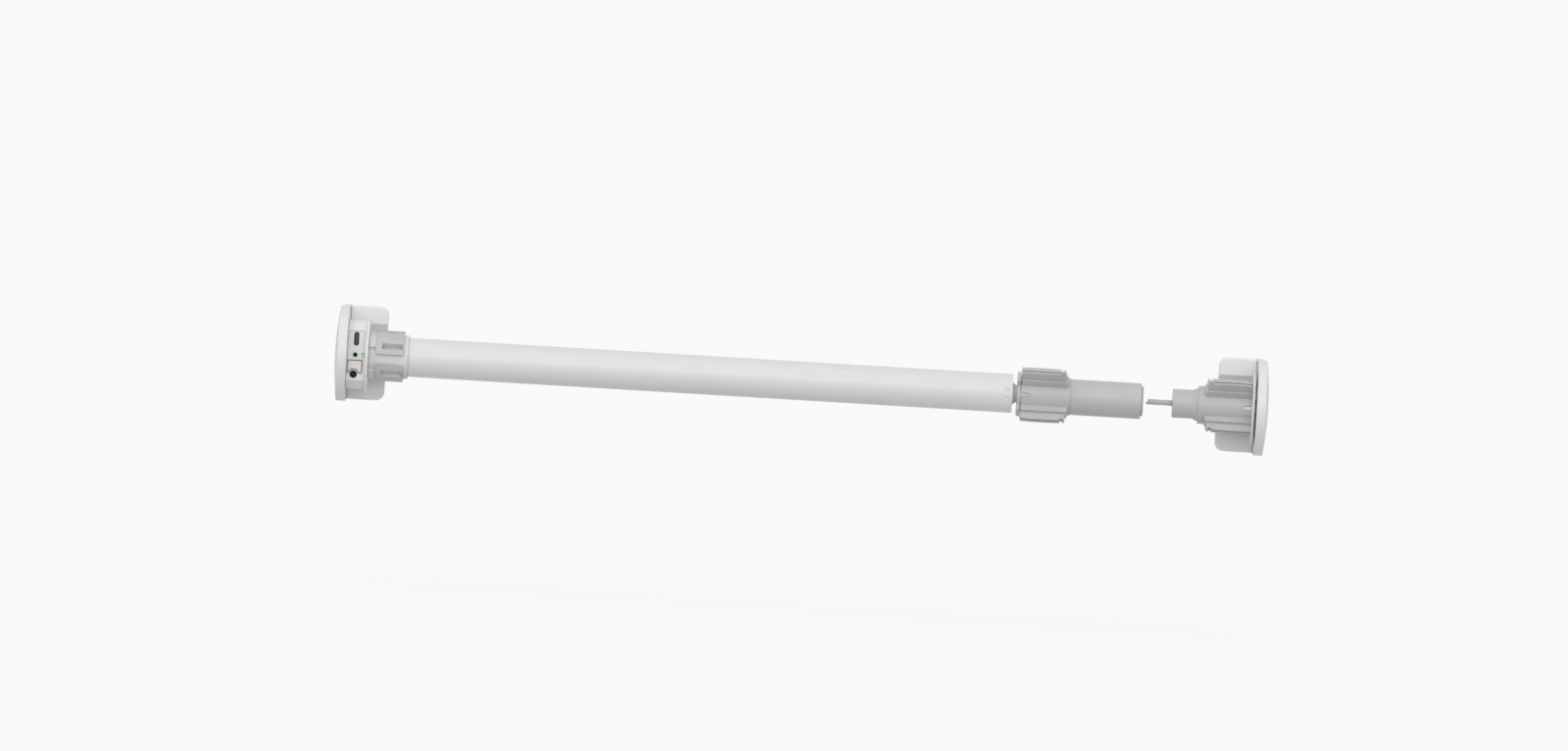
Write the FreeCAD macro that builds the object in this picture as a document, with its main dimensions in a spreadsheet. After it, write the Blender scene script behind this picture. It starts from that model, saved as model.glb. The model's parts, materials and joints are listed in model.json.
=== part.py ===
import FreeCAD, Part
import math
import os
import Sketcher
from FreeCAD import Placement, Rotation, Vector

# Roller shade motor set, millimetres.
# Row frame: +X runs along the motor from its head to the idler, -Y faces the room, +Y the wall, +Z is up.
# The origin is the middle of the left bracket's wall fixing, on the wall plane.

SIZES = {
    # Wall brackets, covers and end caps
    "axis_to_wall": 36.0,
    "sheet_steel": 2.0,
    "cover_gap": 0.2,
    "cover_seam": 0.25,
    "cap_half_height": 30.4,
    "cap_depth": 8.0,
    "cap_dome": 2.2,
    "cap_wall": 1.8,
    "hood_half_height": 30.1,
    "hood_width": 24.2,
    "hood_depth": 10.4,
    "hood_wall": 1.5,
    "hood_corner": 5.3,
    "hood_edge": 0.6,
    "cut_past": 1.0,
    "trough_radius": 32.0,
    "wall_hole_radius": 2.25,
    "wall_hole_spacing": 49.0,
    # Motor head
    "head_radius": 22.1,
    "head_length": 12.0,
    "head_flat": 15.2,
    "head_edge": 0.4,
    "boss_side": 15.0,
    "boss_depth": 1.7,
    "board_front": 9.1,
    "board_thickness": 1.6,
    "head_board_half_height": 12.6,
    "head_board_near": 2.7,
    "flange_radius": 24.5,
    "flange_thickness": 1.8,
    "neck_length": 20.0,
    "neck_bore_radius": 10.0,
    # Charging port
    "port_recess_depth": 0.5,
    "port_recess_low": 4.4,
    "port_recess_high": 15.9,
    "port_recess_near": 1.3,
    "port_recess_far": 10.7,
    "port_up": 10.6,
    "port_along": 5.7,
    "port_half_long": 4.47,
    "port_half_wide": 1.63,
    "port_wall": 0.3,
    "port_set_back": 0.2,
    "tongue_half_long": 3.35,
    "tongue_half_thick": 0.35,
    "tongue_set_back": 0.6,
    # Buttons and lights
    "button_radius": 1.35,
    "button_up": 0.3,
    "button_along": 5.4,
    "button_set_back": 0.2,
    "button_clearance": 0.1,
    "button_throw": 0.6,
    "switch_gap": 0.25,
    "bezel_radius": 2.3,
    "bezel_depth": 1.5,
    "reset_radius": 2.3,
    "reset_up": -12.2,
    "reset_along": 4.8,
    "reset_proud": 0.5,
    "reset_round": 0.4,
    "lens_near": 9.3,
    "lens_far": 11.4,
    "lens_top": 1.9,
    "lens_bottom": -1.6,
    "lens_split": 0.4,
    "lens_seam": 0.1,
    "lens_depth": 1.0,
    # Release latch
    "latch_near": 1.2,
    "latch_far": 9.7,
    "latch_top": -3.5,
    "latch_bottom": -10.9,
    "latch_gap": 0.6,
    "latch_arch": 1.3,
    "latch_thickness": 1.8,
    "latch_recess": 4.0,
    "latch_corner": 0.8,
    "latch_foot_top": -5.8,
    "latch_foot_bottom": -9.2,
    "latch_foot_set_back": 1.0,
    "latch_foot_thickness": 1.3,
    "latch_lip": 1.2,
    "latch_lip_gap": 0.1,
    "latch_throw": 1.2,
    "latch_clearance": 0.2,
    "latch_root": 2.2,
    "latch_spring_radius": 1.5,
    "latch_spring_wire": 0.4,
    "latch_spring_seat": 1.4,
    "latch_spring_up": -5.6,
    "latch_spring_along": 5.6,
    # Crown
    "running_gap": 0.1,
    "end_gap": 0.2,
    "crown_radius": 14.0,
    "crown_length": 25.2,
    "key_radius": 16.3,
    "key_start": 4.3,
    "key_length": 18.0,
    "key_gap_half": 3.6,
    "key_turn": 7.0,
    "lug_turn": 52.0,
    "lug_lift": 0.5,
    "key_gap_depth": 3.0,
    "lug_half_width": 4.2,
    "lug_reach": 15.4,
    "window_margin": 4.2,
    "window_length": 13.0,
    "window_upper_low": 5.0,
    "window_upper_high": 8.6,
    "window_lower_low": 9.1,
    "window_lower_high": 13.1,
    "window_upper_sink": 2.0,
    "window_upper_lip": 2.5,
    "window_lower_sink": 4.4,
    # Motor tube and what it holds
    "tube_radius": 12.5,
    "tube_wall": 0.8,
    "tube_length": 412.5,
    "tray_clearance": 0.1,
    "tray_start": 24.0,
    "tray_to_can": 11.9,
    "tray_wall_depth": 5.0,
    "cell_radius": 9.15,
    "cell_length": 65.0,
    "cell_count": 3,
    "contact_thickness": 1.0,
    "contact_radius": 7.0,
    "tray_end_wall": 2.0,
    "cells_to_board": 13.0,
    "board_half_width": 10.4,
    "can_radius": 11.4,
    "can_wall": 0.8,
    "can_length": 50.0,
    "can_cover": 6.0,
    "magnet_thickness": 1.8,
    "air_gap": 0.5,
    "rotor_length": 28.0,
    "rotor_slot_half": 1.0,
    "rotor_slot_depth": 3.6,
    "rotor_poles": 5,
    "commutator_radius": 3.2,
    "commutator_length": 7.0,
    "motor_shaft_radius": 1.25,
    # Planetary gears
    "gear_module": 0.5,
    "sun_teeth": 12,
    "planet_teeth": 12,
    "ring_teeth": 36,
    "backlash": 0.1,
    "gear_width": 8.0,
    "gear_gap": 0.6,
    "carrier_thickness": 3.0,
    "carrier_radius": 8.2,
    "planet_pin_radius": 1.2,
    "pin_clearance": 0.05,
    "ring_gear_radius": 11.6,
    # Output end
    "end_ring_thickness": 1.9,
    "end_spigot": 8.0,
    "tab_root": 1.0,
    "tab_length": 3.2,
    "tab_upper_low": 2.1,
    "tab_upper_high": 4.2,
    "tab_lower_low": 1.7,
    "tab_lower_high": 3.8,
    "bearing_radius": 8.0,
    "shaft_radius": 5.55,
    "shaft_tail_radius": 4.0,
    "shaft_cone_radius": 7.45,
    "shaft_cone_small": 5.75,
    "shaft_cone_length": 1.6,
    "shaft_show": 3.0,
    "drive_square": 7.6,
    "drive_square_gap": 0.1,
    "drive_square_length": 16.0,
    # Hub and ribbed adapter
    "sleeve_radius": 11.5,
    "sleeve_fit": 0.05,
    "pad_lift": 0.2,
    "hub_length": 79.7,
    "collar_length": 2.1,
    "seam": 0.5,
    "adapter_radius": 12.25,
    "adapter_length": 31.4,
    "pad_face": 16.4,
    "pad_half_width": 3.25,
    "pad_length": 29.9,
    "pad_round": 1.4,
    "pad_round_share": 0.3,
    "rib_reach": 22.2,
    "rib_thickness": 1.2,
    "rib_slit": 0.8,
    "rib_length": 25.5,
    "rib_crown": 0.35,
    "hook_start": 27.2,
    "hook_length": 1.3,
    "hook_reach": 21.6,
    "notch_floor": 20.4,
    "tongue_width": 2.4,
    "tongue_length": 5.2,
    "tongue_gap": 0.2,
    "hub_web": 4.0,
    "hub_bore_radius": 9.7,
    "end_step_radius": 9.6,
    "end_step": 1.5,
    "end_plug": 7.0,
    "end_plug_bore": 8.0,
    "screw_radius": 2.0,
    "screw_length": 12.0,
    "screw_head_radius": 3.5,
    "screw_head": 2.4,
    # Idler set
    "set_gap": 2.0,
    "rod_radius": 1.9,
    "rod_show": 16.9,
    "rod_half_step": 1.1,
    "nose_radius": 9.25,
    "nose_length": 12.7,
    "nose_cone": 3.9,
    "nose_cone_radius": 10.85,
    "nose_ring": 2.8,
    "rod_hole_gap": 0.1,
    "chamber_radius": 6.5,
    "chamber_length": 28.0,
    "pin_radius": 3.0,
    "pin_fit": 0.05,
    "pin_engage": 4.6,
    "pin_end_gap": 0.3,
    "plunge": 6.0,
    "spring_collar_radius": 5.6,
    "spring_collar": 2.2,
    "idler_spring_radius": 4.6,
    "idler_spring_wire": 0.9,
    "idler_flange_radius": 24.7,
    "idler_flange": 1.7,
    "idler_flange_round": 0.7,
    "socket_disc_radius": 14.0,
    "socket_disc": 1.0,
    "socket_body_radius": 6.0,
    "socket_floor": 1.0,
    "socket_slot_margin": 1.0,
    "socket_slot_half": 1.3,
    "socket_slot_up": 4.2,
}

AXIS = Rotation(Vector(1, 1, 1), 120)
BACKWARDS = Rotation(Vector(0, 0, 1), 180).multiply(Rotation(Vector(1, 1, 1), 120))
FOURTHS = 45

# Parts on the control board, as shares of its half width and of its length: low and high across,
# low and high along, then the height in millimetres
BOARD_PARTS = (
    (-0.67, 0.67, 0.05, 0.18, 2.6),
    (-0.38, 0.38, 0.23, 0.33, 1.4),
    (-0.77, -0.29, 0.38, 0.46, 3.2),
    (0.19, 0.67, 0.38, 0.49, 4.8),
    (-0.62, 0.62, 0.56, 0.67, 5.6),
    (-0.29, 0.29, 0.74, 0.82, 1.2),
)

document = FreeCAD.newDocument("RollerShadeMotor")
sheet = document.addObject("Spreadsheet::Sheet", "Sizes")
pieces = []


class Size:
    """A length that carries both its value and its formula in the sheet's names."""

    def __init__(self, value, formula):
        self.value = value
        self.formula = formula

    def __add__(self, other):
        return joined(self, "+", other)

    def __radd__(self, other):
        return joined(other, "+", self)

    def __sub__(self, other):
        return joined(self, "-", other)

    def __rsub__(self, other):
        return joined(other, "-", self)

    def __mul__(self, other):
        return joined(self, "*", other)

    def __rmul__(self, other):
        return joined(other, "*", self)

    def __truediv__(self, other):
        return joined(self, "/", other)

    def __neg__(self):
        return joined(0, "-", self)


def value_of(size):
    return size.value if isinstance(size, Size) else float(size)


def formula_of(size):
    return size.formula if isinstance(size, Size) else repr(float(size))


def joined(left, sign, right):
    a = value_of(left)
    b = value_of(right)
    results = {"+": a + b, "-": a - b, "*": a * b, "/": a / b if b else 0.0}
    return Size(results[sign], f"({formula_of(left)} {sign} {formula_of(right)})")


def root(size):
    return Size(math.sqrt(size.value), f"sqrt({size.formula})")


class Sizes:
    """Every driving size by its name in the sheet, and the places worked out from them."""

    def __init__(self, table):
        self.row = 0
        for name, number in table.items():
            self.write(name, str(number))
            setattr(self, name, Size(float(number), f"Sizes.{name}"))

    def write(self, name, content):
        self.row += 1
        sheet.set(f"A{self.row}", name)
        sheet.set(f"B{self.row}", content)
        sheet.setAlias(f"B{self.row}", name)

    def derive(self, name, size):
        self.write(name, "=" + size.formula.replace("Sizes.", ""))
        setattr(self, name, Size(size.value, f"Sizes.{name}"))


S = Sizes(SIZES)

# Stations along X, each from the one before
S.derive("at_plate", -S.hood_width / 2)
S.derive("hood_run", S.hood_width - S.cover_seam)
S.derive("at_flange", S.at_plate + S.head_length)
S.derive("at_tube", S.at_flange + S.flange_thickness)
S.derive("at_crown", S.at_tube + S.end_gap)
S.derive("at_tube_end", S.at_tube + S.tube_length)
S.derive("at_shaft", S.at_tube_end + S.end_ring_thickness)
S.derive("at_hub", S.at_shaft + S.shaft_show)
S.derive("at_adapter", S.at_hub + S.collar_length + S.seam)
S.derive("at_hub_end", S.at_hub + S.hub_length)
S.derive("at_rod", S.at_hub_end + S.end_step + S.set_gap)
S.derive("at_nose", S.at_rod + S.rod_show)
S.derive("at_idler_adapter", S.at_nose + S.nose_length + S.nose_cone + S.nose_ring)
S.derive("at_idler_flange", S.at_idler_adapter + S.adapter_length)
S.derive("at_socket", S.at_idler_flange + S.idler_flange + S.end_gap)
S.derive("at_far_plate", S.at_socket + S.socket_disc)
S.derive("middle", (S.at_plate + S.at_far_plate) / 2)

# Stations inside the tube, counted back from its far end
S.derive("tube_bore", S.tube_radius - S.tube_wall)
S.derive("gear_centres", S.gear_module * (S.sun_teeth + S.planet_teeth) / 2)
S.derive("at_bearing", S.at_tube_end - S.end_spigot)
S.derive("at_carrier_2", S.at_bearing - S.end_gap - S.carrier_thickness)
S.derive("at_gears_2", S.at_carrier_2 - S.gear_gap - S.gear_width)
S.derive("at_carrier_1", S.at_gears_2 - S.gear_gap - S.carrier_thickness)
S.derive("at_gears_1", S.at_carrier_1 - S.gear_gap - S.gear_width)
S.derive("at_ring_gear", S.at_gears_1 - S.gear_gap)
S.derive("at_can", S.at_ring_gear - S.can_length)
S.derive("at_tray", S.at_tube + S.tray_start)
S.derive("tray_length", S.at_can - S.tray_to_can - S.at_tray)
S.derive("at_cells", S.at_tray + S.tray_end_wall + S.contact_thickness)
S.derive("cell_step", S.cell_length + S.contact_thickness)
S.derive("at_board", S.at_cells + S.cell_count * S.cell_step + S.cells_to_board)
S.derive("board_length", S.at_tray + S.tray_length - S.tray_end_wall - S.at_board)


def bind(thing, place, size):
    """Ties one property of an object to the sheet."""
    thing.setExpression(place, formula_of(size))


def seat(thing, along, turn, across=0.0, up=0.0):
    """Places a piece on the motor's axis, shifted across it and up where it isn't central."""
    thing.Placement = Placement(Vector(), turn)
    bind(thing, ".Placement.Base.x", along)
    bind(thing, ".Placement.Base.y", across - S.axis_to_wall)
    bind(thing, ".Placement.Base.z", up)


def body(label, along, turn=AXIS, across=0.0, up=0.0):
    made = document.addObject("PartDesign::Body", label)
    made.Label = label
    seat(made, along, turn, across, up)
    pieces.append(made)
    return made


def sketch(owner, plane, lift=0.0, spin=0.0):
    """A sketch on one of its body's planes, lifted off it and turned in it."""
    made = owner.newObject("Sketcher::SketchObject", f"{owner.Label}_{plane}")
    origin = [f for f in owner.Origin.OriginFeatures if f.Role == f"{plane}_Plane"][0]
    made.AttachmentSupport = [(origin, "")]
    made.MapMode = "FlatFace"
    turn_axis = Vector(0, 1, 0) if plane == "XZ" else Vector(0, 0, 1)
    made.AttachmentOffset = Placement(Vector(0, 0, value_of(lift)), Rotation(turn_axis, value_of(spin)))
    if isinstance(lift, Size):
        bind(made, ".AttachmentOffset.Base.z", lift)
    if isinstance(spin, Size):
        bind(made, ".AttachmentOffset.Rotation.Angle", spin)
    return made


def hold(drawing, kind, geometry, end, size):
    """Holds a point at a distance from the sketch's origin, or on its axis where the distance is nought."""
    if not isinstance(size, Size) and size == 0:
        axis = -2 if kind == "DistanceX" else -1
        drawing.addConstraint(Sketcher.Constraint("PointOnObject", geometry, end, axis))
        return
    number = drawing.addConstraint(Sketcher.Constraint(kind, -1, 1, geometry, end, value_of(size)))
    bind(drawing, f"Constraints[{number}]", size)


def outline(drawing, corners):
    """A closed outline of straight lines through the corners."""
    first = drawing.GeometryCount
    count = len(corners)
    spots = [Vector(value_of(x), value_of(y), 0) for x, y in corners]
    for i in range(count):
        drawing.addGeometry(Part.LineSegment(spots[i], spots[(i + 1) % count]))
    for i in range(count):
        drawing.addConstraint(Sketcher.Constraint("Coincident", first + i, 2, first + (i + 1) % count, 1))
    for i, (x, y) in enumerate(corners):
        hold(drawing, "DistanceX", first + i, 1, x)
        hold(drawing, "DistanceY", first + i, 1, y)


def rectangle(drawing, low_x, high_x, low_y, high_y):
    outline(drawing, [(low_x, low_y), (high_x, low_y), (high_x, high_y), (low_x, high_y)])


def disc(drawing, radius, x=0, y=0):
    centre = Vector(value_of(x), value_of(y), 0)
    circle = drawing.addGeometry(Part.Circle(centre, Vector(0, 0, 1), value_of(radius)))
    if value_of(x) == 0 and value_of(y) == 0:
        drawing.addConstraint(Sketcher.Constraint("Coincident", circle, 3, -1, 1))
    else:
        hold(drawing, "DistanceX", circle, 3, x)
        hold(drawing, "DistanceY", circle, 3, y)
    number = drawing.addConstraint(Sketcher.Constraint("Radius", circle, value_of(radius)))
    bind(drawing, f"Constraints[{number}]", radius)


def oblong(drawing, x, y, half_long, half_wide):
    """A slot shape with round ends, long along the sketch's first axis."""
    reach = half_long - half_wide
    right = Vector(value_of(x + reach), value_of(y), 0)
    left = Vector(value_of(x - reach), value_of(y), 0)
    wide = value_of(half_wide)
    rise = Vector(0, wide, 0)
    normal = Vector(0, 0, 1)
    quarter = math.pi / 2
    end_right = drawing.addGeometry(Part.ArcOfCircle(Part.Circle(right, normal, wide), -quarter, quarter))
    end_left = drawing.addGeometry(Part.ArcOfCircle(Part.Circle(left, normal, wide), quarter, 3 * quarter))
    top = drawing.addGeometry(Part.LineSegment(right + rise, left + rise))
    bottom = drawing.addGeometry(Part.LineSegment(left - rise, right - rise))
    drawing.addConstraint(Sketcher.Constraint("Tangent", end_right, 2, top, 1))
    drawing.addConstraint(Sketcher.Constraint("Tangent", top, 2, end_left, 1))
    drawing.addConstraint(Sketcher.Constraint("Tangent", end_left, 2, bottom, 1))
    drawing.addConstraint(Sketcher.Constraint("Tangent", bottom, 2, end_right, 1))
    hold(drawing, "DistanceX", end_right, 3, x + reach)
    hold(drawing, "DistanceX", end_left, 3, x - reach)
    hold(drawing, "DistanceY", end_right, 3, y)
    number = drawing.addConstraint(Sketcher.Constraint("Radius", end_right, wide))
    bind(drawing, f"Constraints[{number}]", half_wide)


def round_ended(drawing, half, foot, tip):
    """The outline of a tongue or its slot: straight sides from the foot and a round end at the tip."""
    side = half if value_of(tip) > value_of(foot) else -half
    shoulder = tip - side
    first_foot = Vector(value_of(-side), value_of(foot), 0)
    last_foot = Vector(value_of(side), value_of(foot), 0)
    first_shoulder = Vector(value_of(-side), value_of(shoulder), 0)
    last_shoulder = Vector(value_of(side), value_of(shoulder), 0)
    centre = Vector(0, value_of(shoulder), 0)
    start = 0 if value_of(side) > 0 else math.pi
    end = drawing.addGeometry(Part.ArcOfCircle(
        Part.Circle(centre, Vector(0, 0, 1), value_of(half)), start, start + math.pi))
    base = drawing.addGeometry(Part.LineSegment(first_foot, last_foot))
    rising = drawing.addGeometry(Part.LineSegment(last_foot, last_shoulder))
    falling = drawing.addGeometry(Part.LineSegment(first_shoulder, first_foot))
    drawing.addConstraint(Sketcher.Constraint("Coincident", base, 2, rising, 1))
    drawing.addConstraint(Sketcher.Constraint("Tangent", rising, 2, end, 1))
    drawing.addConstraint(Sketcher.Constraint("Tangent", end, 2, falling, 1))
    drawing.addConstraint(Sketcher.Constraint("Coincident", falling, 2, base, 1))
    for line, across in ((base, -side), (rising, side)):
        hold(drawing, "DistanceX", line, 1, across)
        hold(drawing, "DistanceY", line, 1, foot)
    hold(drawing, "DistanceX", end, 3, 0)
    hold(drawing, "DistanceY", end, 3, shoulder)
    number = drawing.addConstraint(Sketcher.Constraint("Radius", end, value_of(half)))
    bind(drawing, f"Constraints[{number}]", half)


def extrude(kind, owner, drawing, length, middle, reverse):
    made = owner.newObject(f"PartDesign::{kind}", f"{owner.Label}_{kind.lower()}")
    made.Profile = drawing
    bind(made, "Length", length)
    made.Reversed = reverse
    made.Midplane = middle
    drawing.Visibility = False
    document.recompute()
    return made


def pad(owner, drawing, length, middle=False, reverse=False):
    return extrude("Pad", owner, drawing, length, middle, reverse)


def pocket(owner, drawing, length, middle=False, reverse=False):
    return extrude("Pocket", owner, drawing, length, middle, reverse)


def revolve(owner, corners, kind="Revolution"):
    """Turns an outline of (radius, height) corners about the body's own Z axis."""
    drawing = sketch(owner, "XZ")
    outline(drawing, corners)
    made = owner.newObject(f"PartDesign::{kind}", f"{owner.Label}_{kind.lower()}")
    made.Profile = drawing
    made.ReferenceAxis = (drawing, ["V_Axis"])
    made.Angle = 360
    document.recompute()
    return made


def around(owner, features, count):
    """Repeats features evenly about the body's own Z axis."""
    made = owner.newObject("PartDesign::PolarPattern", f"{owner.Label}_pattern")
    made.Originals = features
    z_axis = [f for f in owner.Origin.OriginFeatures if f.Role == "Z_Axis"][0]
    made.Axis = (z_axis, [""])
    made.Angle = 360
    made.Occurrences = int(value_of(count))
    owner.Tip = made
    document.recompute()
    return made


def dress(kind, owner, size, wanted):
    """Fillets or chamfers the edges of the body's newest feature that the test picks."""
    base = owner.Tip
    names = [f"Edge{i + 1}" for i, edge in enumerate(base.Shape.Edges) if wanted(edge)]
    made = owner.newObject(f"PartDesign::{kind}", f"{owner.Label}_{kind.lower()}")
    made.Base = (base, names)
    bind(made, "Radius" if kind == "Fillet" else "Size", size)
    owner.Tip = made
    document.recompute()
    return made


def near(a, b):
    return abs(a - value_of(b)) < 0.001


def radius_of(point):
    return math.hypot(point.x, point.y)


def primitive(kind, name, **sizes):
    """A Part primitive whose sizes are tied to the sheet."""
    made = document.addObject(f"Part::{kind}", name)
    for place, size in sizes.items():
        bind(made, place, size)
    return made


def box(name, x, y, z):
    """A box from three (low, high) pairs in the row frame."""
    made = primitive("Box", name, Length=x[1] - x[0], Width=y[1] - y[0], Height=z[1] - z[0])
    bind(made, ".Placement.Base.x", x[0])
    bind(made, ".Placement.Base.y", y[0])
    bind(made, ".Placement.Base.z", z[0])
    return made


def axle(name, radius, along, length):
    """A cylinder on the motor's axis."""
    made = primitive("Cylinder", name, Radius=radius, Height=length)
    seat(made, along, AXIS)
    return made


def combine(kind, name, first, second):
    made = document.addObject(f"Part::{kind}", name)
    made.Base = first
    made.Tool = second
    return made


def keep(thing, label):
    thing.Label = label
    pieces.append(thing)
    return thing


def mirrored(label, source):
    """The same piece for the far end of the set."""
    made = document.addObject("Part::Mirroring", label)
    made.Source = source
    made.Normal = Vector(1, 0, 0)
    bind(made, ".Base.x", S.middle)
    return keep(made, label)


def feature(label, shape, along, across=0.0, up=0.0, turn=AXIS):
    """A piece whose shape is worked out here, and placed by the sheet."""
    made = document.addObject("Part::Feature", label)
    made.Shape = shape
    seat(made, along, turn, across, up)
    return keep(made, label)


def d_block(name, start, end, half_height, back):
    """A block that is round in front of the motor's axis and square behind it."""
    front = axle(f"{name}_round", half_height, start, end - start)
    rear = box(f"{name}_square", (start, end), (-S.axis_to_wall, back), (-half_height, half_height))
    return combine("Fuse", name, front, rear)


# End caps

def cap():
    outer_end = S.at_plate - S.cap_depth
    dome = (S.cap_half_height * S.cap_half_height + S.cap_dome * S.cap_dome) / (2 * S.cap_dome)
    block = d_block("cap_block", outer_end, S.at_plate, S.cap_half_height, 0)
    ball = primitive("Sphere", "cap_ball", Radius=dome)
    seat(ball, outer_end + dome, AXIS)
    shell = combine("Common", "cap_shell", block, ball)
    half = S.cap_half_height - S.cap_wall
    past = S.at_plate + S.cut_past
    inside = d_block("cap_inside", outer_end, past, half, S.cut_past)
    inner_ball = primitive("Sphere", "cap_inner_ball", Radius=dome - S.cap_wall)
    seat(inner_ball, outer_end + dome, AXIS)
    bowl = combine("Common", "cap_bowl", inside, inner_ball)
    rebate = d_block("cap_rebate", S.at_plate - S.sheet_steel, past, half, S.cut_past)
    hollow = combine("Fuse", "cap_hollow", bowl, rebate)
    return keep(combine("Cut", "cap_left", shell, hollow), "cap_left")


# Covers over the wall legs

def hood():
    near_end = S.at_plate + S.cover_seam
    wall = S.hood_wall
    past = S.cut_past
    block = rounded_block("hood_block", near_end, (0, S.hood_run), S.hood_half_height,
                          S.hood_depth, S.hood_corner)
    dress("Chamfer", block, S.hood_edge, is_hood_front)
    trough = axle("hood_trough", S.trough_radius, near_end - past, S.hood_run + 2 * past)
    shell = combine("Cut", "hood_shell", block, trough)
    inside = rounded_block("hood_inside", near_end, (-past, S.hood_run - wall), S.hood_half_height - wall,
                           S.hood_depth, S.hood_corner - wall, wall)
    inner_trough = axle("hood_inner_trough", S.trough_radius + wall, near_end - 2 * past,
                        S.hood_run + 4 * past)
    hollow = combine("Cut", "hood_hollow", inside, inner_trough)
    return keep(combine("Cut", "hood_left", shell, hollow), "hood_left")


def rounded_block(name, along, ends, half_height, depth, corner, past_wall=0.0):
    """A block that stands on the wall plane, or starts behind it, and whose two far corners are round."""
    block = document.addObject("PartDesign::Body", name)
    bind(block, ".Placement.Base.x", along)
    face = sketch(block, "XZ", lift=-past_wall)
    rectangle(face, *ends, -half_height, half_height)
    pad(block, face, depth)
    dress("Fillet", block, corner, lambda edge: is_far_corner(edge, ends[1], half_height, depth))
    return block


def is_far_corner(edge, far_end, half_height, depth):
    ends = [v.Point for v in edge.Vertexes]
    at_corner = all(near(abs(p.z), half_height) and near(p.x, far_end) for p in ends)
    return at_corner and near(edge.Length, depth)


def is_hood_front(edge):
    ends = [v.Point for v in edge.Vertexes]
    return all(near(-p.y, S.hood_depth) for p in ends) and not all(near(p.x, 0) for p in ends)


# Steel brackets

def bracket(name, hole):
    """An angle of sheet steel: one leg on the wall, the other inside the end cap."""
    in_cap = S.cap_half_height - S.cap_wall - S.cover_gap
    in_hood = S.hood_half_height - S.hood_wall - S.cover_gap
    side = d_block(f"{name}_side", S.at_plate - S.sheet_steel, S.at_plate, in_cap, 0)
    leg = rounded_block(f"{name}_leg", S.at_plate, (-S.sheet_steel, S.hood_width - S.hood_wall), in_hood,
                        S.sheet_steel, S.hood_corner - S.hood_wall)
    angle = combine("Fuse", f"{name}_angle", side, leg)
    angle.Refine = True
    drilled = combine("Cut", f"{name}_opened", angle, hole)
    for side_name, up in (("low", -S.wall_hole_spacing / 2), ("high", S.wall_hole_spacing / 2)):
        drill = primitive("Cylinder", f"{name}_{side_name}_hole", Radius=S.wall_hole_radius,
                          Height=S.sheet_steel + 2 * S.cut_past)
        drill.Placement = Placement(Vector(), Rotation(Vector(1, 0, 0), 90))
        bind(drill, ".Placement.Base.y", S.cut_past)
        bind(drill, ".Placement.Base.z", up)
        drilled = combine("Cut", f"{name}_{side_name}_drilled", drilled, drill)
    return drilled


def bracket_left():
    """Its square hole takes the head's boss, and its slot the latch's lip."""
    half = S.boss_side / 2 + S.latch_clearance
    x = (S.at_plate - S.sheet_steel - S.cut_past, S.at_plate + S.cut_past)
    square = box("left_square", x, (-S.axis_to_wall - half, half - S.axis_to_wall), (-half, half))
    slot = latch_slot_box("left_slot", x)
    hole = combine("Fuse", "left_holes", square, slot)
    return keep(bracket("bracket_left", hole), "bracket_left")


def latch_slot_box(name, x):
    out = S.head_flat - S.latch_foot_set_back + S.latch_clearance
    back = out - S.latch_foot_thickness - 2 * S.latch_clearance - S.latch_throw
    y = (-S.axis_to_wall - out, -S.axis_to_wall - back)
    z = (S.latch_foot_bottom - S.latch_clearance, S.latch_foot_top + S.latch_clearance)
    return box(name, x, y, z)


def bracket_right():
    """Its round hole takes the idler's socket bush."""
    hole = axle("right_hole", S.socket_body_radius, S.at_plate - S.sheet_steel - S.cut_past,
                S.sheet_steel + 2 * S.cut_past)
    return mirrored("bracket_right", bracket("bracket_far", hole))


def socket_bush():
    """A disc on the bracket's face and a blind body through its hole, which the idler's pin runs in."""
    bush = body("socket_bush", S.at_socket)
    bore = S.pin_radius + S.pin_fit
    depth = S.pin_engage + S.pin_end_gap
    length = depth + S.socket_floor
    revolve(bush, [
        (bore, 0), (S.socket_disc_radius, 0), (S.socket_disc_radius, S.socket_disc),
        (S.socket_body_radius, S.socket_disc), (S.socket_body_radius, length),
        (0, length), (0, depth), (bore, depth)])
    slots = sketch(bush, "XY")
    reach = S.socket_disc_radius + S.cut_past
    inner = S.socket_body_radius + S.socket_slot_margin
    half = S.socket_slot_half
    for sign in (-1, 1):
        middle = sign * S.socket_slot_up
        rectangle(slots, -reach, -inner, middle - half, middle + half)
        rectangle(slots, inner, reach, middle - half, middle + half)
    pocket(bush, slots, S.socket_disc, reverse=True)


# Motor head

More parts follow.
